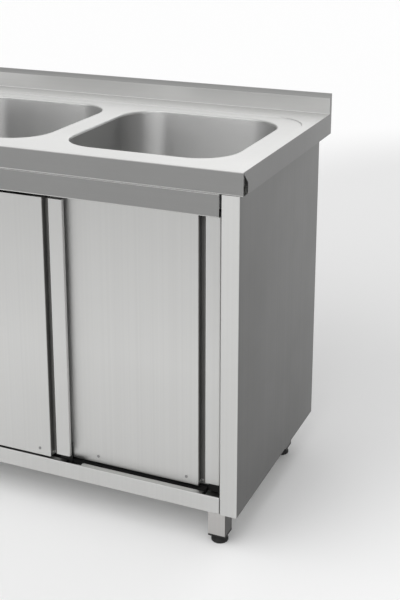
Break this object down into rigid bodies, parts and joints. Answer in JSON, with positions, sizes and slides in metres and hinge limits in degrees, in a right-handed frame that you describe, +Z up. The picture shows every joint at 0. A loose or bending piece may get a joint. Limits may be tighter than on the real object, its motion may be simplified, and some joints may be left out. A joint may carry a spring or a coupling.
{
  "type": "catering sink unit",
  "caption": "Free-standing stainless steel sink unit: worktop with deep pressed bowls and an upstand, over a cupboard with overlapping sliding doors on square legs.",
  "frame": {"origin": "on the floor under the middle of the worktop", "axes": "+X to the right as seen from the front, along the worktop; +Y to the back, away from the doors; +Z up"},
  "size_m": [1, 0.6, 0.8998],
  "materials": {
    "worktop": "satin brushed stainless sheet, grain left to right",
    "bowl": "satin pressed stainless sheet, grain up the walls",
    "panel": "satin brushed stainless sheet, grain upright on doors and posts",
    "carcass": "dull mill-finish stainless sheet",
    "leg": "brushed square stainless tube",
    "aluminium": "natural anodised extrusion",
    "chrome": "bright polished",
    "black_plastic": "satin black moulding",
    "grip": "dark grey-black extrusion with a fine ribbed face",
    "nylon": "off-white moulding",
    "rubber": "black"
  },
  "bodies": {
    "cabinet": {"worktop": "worktop", "bowl_left": "bowl", "bowl_right": "bowl", "worktop_crossbar": "carcass", "waste_body_left": "chrome", "waste_locknut_left": "black_plastic", "waste_body_right": "chrome", "waste_locknut_right": "black_plastic", "side_panel_left": "panel", "side_panel_right": "panel", "back_panel": "carcass", "rear_top_rail": "carcass", "bottom_shelf": "carcass", "rear_base_channel": "carcass", "bottom_front_rail": "panel", "lower_guide_track": "black_plastic", "fascia": "panel", "upper_track": "aluminium", "track_stop_left": "rubber", "track_stop_right": "rubber", "leg_front_left": "leg", "leg_insert_front_left": "black_plastic", "leg_front_right": "leg", "leg_insert_front_right": "black_plastic", "leg_rear_left": "leg", "leg_insert_rear_left": "black_plastic", "leg_rear_right": "leg", "leg_insert_rear_right": "black_plastic"},
    "door_left": {"door_left_skin": "panel", "door_left_liner": "carcass", "door_left_grip_left": "grip", "door_left_guide_left": "black_plastic", "door_left_hanger_left": "carcass", "door_left_grip_right": "grip", "door_left_guide_right": "black_plastic", "door_left_hanger_right": "carcass", "door_left_screw_1": "chrome", "door_left_screw_2": "chrome", "door_left_screw_3": "chrome"},
    "wheelset_left_left": {"door_left_wheelset_left": "nylon"},
    "wheelset_left_right": {"door_left_wheelset_right": "nylon"},
    "door_right": {"door_right_skin": "panel", "door_right_liner": "carcass", "door_right_grip_left": "grip", "door_right_guide_left": "black_plastic", "door_right_hanger_left": "carcass", "door_right_grip_right": "grip", "door_right_guide_right": "black_plastic", "door_right_hanger_right": "carcass", "door_right_screw_1": "chrome", "door_right_screw_2": "chrome", "door_right_screw_3": "chrome"},
    "wheelset_right_left": {"door_right_wheelset_left": "nylon"},
    "wheelset_right_right": {"door_right_wheelset_right": "nylon"},
    "foot_front_left": {"foot_front_left": "black_plastic"},
    "foot_front_right": {"foot_front_right": "black_plastic"},
    "foot_rear_left": {"foot_rear_left": "black_plastic"},
    "foot_rear_right": {"foot_rear_right": "black_plastic"},
    "strainer_left": {"strainer_left": "chrome"},
    "strainer_right": {"strainer_right": "chrome"}
  },
  "joints": [
    {"name": "door_left_slide", "type": "slide", "parent": "cabinet", "child": "door_left", "axis": [1, 0, 0], "range_m": [0, 0.357]},
    {"name": "door_right_slide", "type": "slide", "parent": "cabinet", "child": "door_right", "axis": [1, 0, 0], "range_m": [-0.357, 0]},
    {"name": "wheelset_left_left_roll", "type": "hinge", "parent": "door_left", "child": "wheelset_left_left", "pos_m": [-0.3834, -0.2855, 0.7789], "axis": [0, 1, 0], "continuous": true},
    {"name": "wheelset_left_right_roll", "type": "hinge", "parent": "door_left", "child": "wheelset_left_right", "pos_m": [0.026, -0.2855, 0.7789], "axis": [0, 1, 0], "continuous": true},
    {"name": "wheelset_right_left_roll", "type": "hinge", "parent": "door_right", "child": "wheelset_right_left", "pos_m": [-0.026, -0.2655, 0.7789], "axis": [0, 1, 0], "continuous": true},
    {"name": "wheelset_right_right_roll", "type": "hinge", "parent": "door_right", "child": "wheelset_right_right", "pos_m": [0.3834, -0.2655, 0.7789], "axis": [0, 1, 0], "continuous": true},
    {"name": "foot_front_left_height", "type": "slide", "parent": "cabinet", "child": "foot_front_left", "axis": [0, 0, -1], "range_m": [0, 0.035]},
    {"name": "foot_front_right_height", "type": "slide", "parent": "cabinet", "child": "foot_front_right", "axis": [0, 0, -1], "range_m": [0, 0.035]},
    {"name": "foot_rear_left_height", "type": "slide", "parent": "cabinet", "child": "foot_rear_left", "axis": [0, 0, -1], "range_m": [0, 0.035]},
    {"name": "foot_rear_right_height", "type": "slide", "parent": "cabinet", "child": "foot_rear_right", "axis": [0, 0, -1], "range_m": [0, 0.035]},
    {"name": "strainer_left_lift", "type": "slide", "parent": "cabinet", "child": "strainer_left", "axis": [0, 0, 1], "range_m": [0, 0.3]},
    {"name": "strainer_right_lift", "type": "slide", "parent": "cabinet", "child": "strainer_right", "axis": [0, 0, 1], "range_m": [0, 0.3]}
  ],
  "couplings": [
    {"joint": "wheelset_left_left_roll", "follows": "door_left_slide", "rad_per_m": 111.11},
    {"joint": "wheelset_left_right_roll", "follows": "door_left_slide", "rad_per_m": 111.11},
    {"joint": "wheelset_right_left_roll", "follows": "door_right_slide", "rad_per_m": 111.11},
    {"joint": "wheelset_right_right_roll", "follows": "door_right_slide", "rad_per_m": 111.11}
  ]
}
